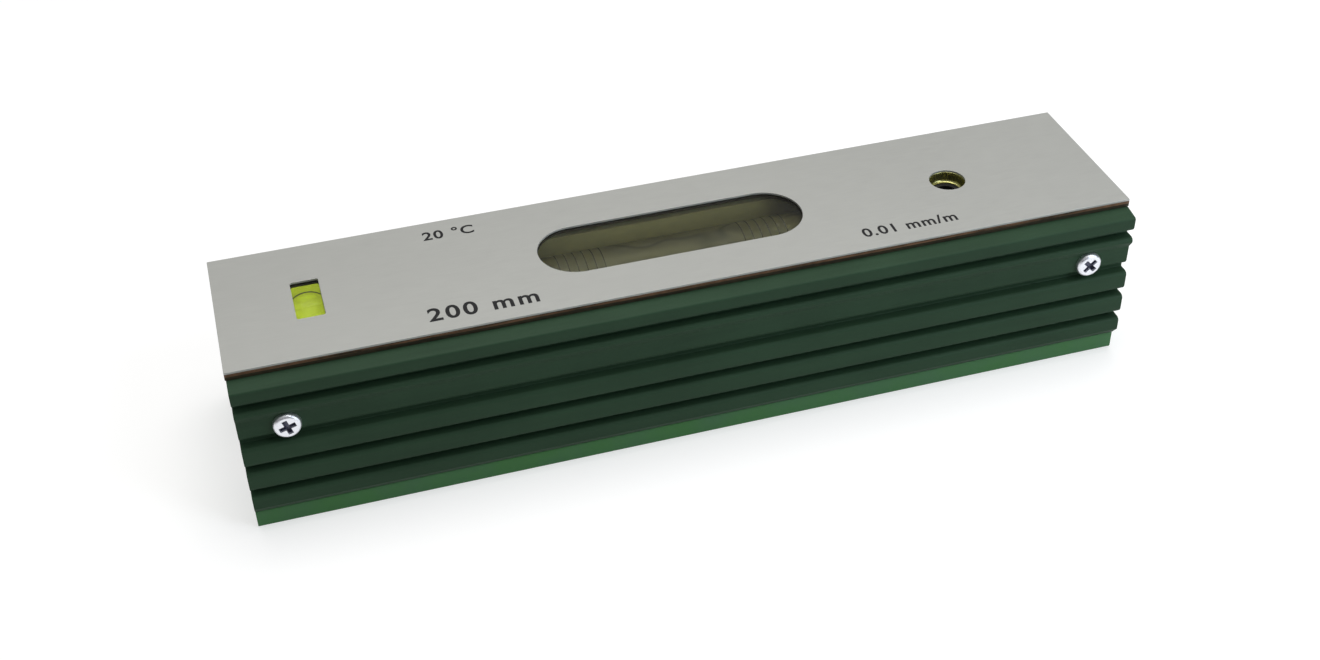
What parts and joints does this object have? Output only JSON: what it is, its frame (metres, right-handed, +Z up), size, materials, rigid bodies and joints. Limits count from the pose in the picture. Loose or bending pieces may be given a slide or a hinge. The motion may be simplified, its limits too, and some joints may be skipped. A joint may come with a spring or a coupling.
{
  "type": "precision machinist level",
  "caption": "Flat precision level with ribbed side covers, grooved iron base, long main vial that tilts on an adjusting screw, and a small cross vial.",
  "frame": {"origin": "middle of the resting face, at the bottom of the level", "axes": "+X along the level towards the adjusting end, +Z up, front side towards -Y"},
  "size_m": [0.2, 0.0492, 0.04],
  "materials": {
    "body_paint": "green paint on cast iron, base ground bare",
    "cover_plastic": "dark green, semi-matt, ribbed",
    "zinc": "bright zinc plating",
    "board": "brown laminated board",
    "steel": "turned steel",
    "black_steel": "blackened steel",
    "face_aluminium": "fine satin",
    "pane": "clear polished",
    "brass": "turned, dull yellow-olive",
    "holder_brass": "dark olive, dull",
    "vial_glass": "ground inside, polished outside",
    "main_liquid": "clear pale olive liquid",
    "cross_liquid": "clear yellow-green liquid",
    "cement": "cast cement",
    "plug": "dull"
  },
  "bodies": {
    "base": {"body": "body_paint", "front_side_cover": "cover_plastic", "rear_side_cover": "cover_plastic", "cover_screws": "zinc", "insulating_board": "board", "board_screws": "steel", "face_plate": "face_aluminium", "main_window": "pane", "cross_window": "pane", "pivot_pin": "steel", "pivot_washers": "steel", "adjuster_bridge": "black_steel", "access_bush": "brass", "bridge_screws": "steel", "thrust_washer": "steel", "adjusting_spring": "steel", "cross_vial_glass": "vial_glass", "cross_vial_liquid": "cross_liquid", "cross_vial_bedding": "cement"},
    "vial_carrier": {"vial_holder": "holder_brass", "adjusting_nut": "brass", "main_vial_glass": "vial_glass", "main_vial_liquid": "main_liquid", "main_vial_plugs": "plug", "main_vial_bedding": "cement"},
    "adjuster": {"adjusting_screw": "black_steel"}
  },
  "joints": [
    {"name": "adjusting_screw_turn", "type": "hinge", "parent": "base", "child": "adjuster", "pos_m": [0.0647, 0, 0.0343], "axis": [0, 0, 1], "range_deg": [-360, 360]},
    {"name": "vial_tilt", "type": "hinge", "parent": "base", "child": "vial_carrier", "pos_m": [-0.061, 0, 0.0288], "axis": [0, 1, 0], "range_deg": [-0.319, 0.319], "deforming": ["adjusting_spring"]}
  ],
  "couplings": [
    {"joint": "adjusting_screw_turn", "follows": "vial_tilt", "ratio": 1128.3}
  ]
}
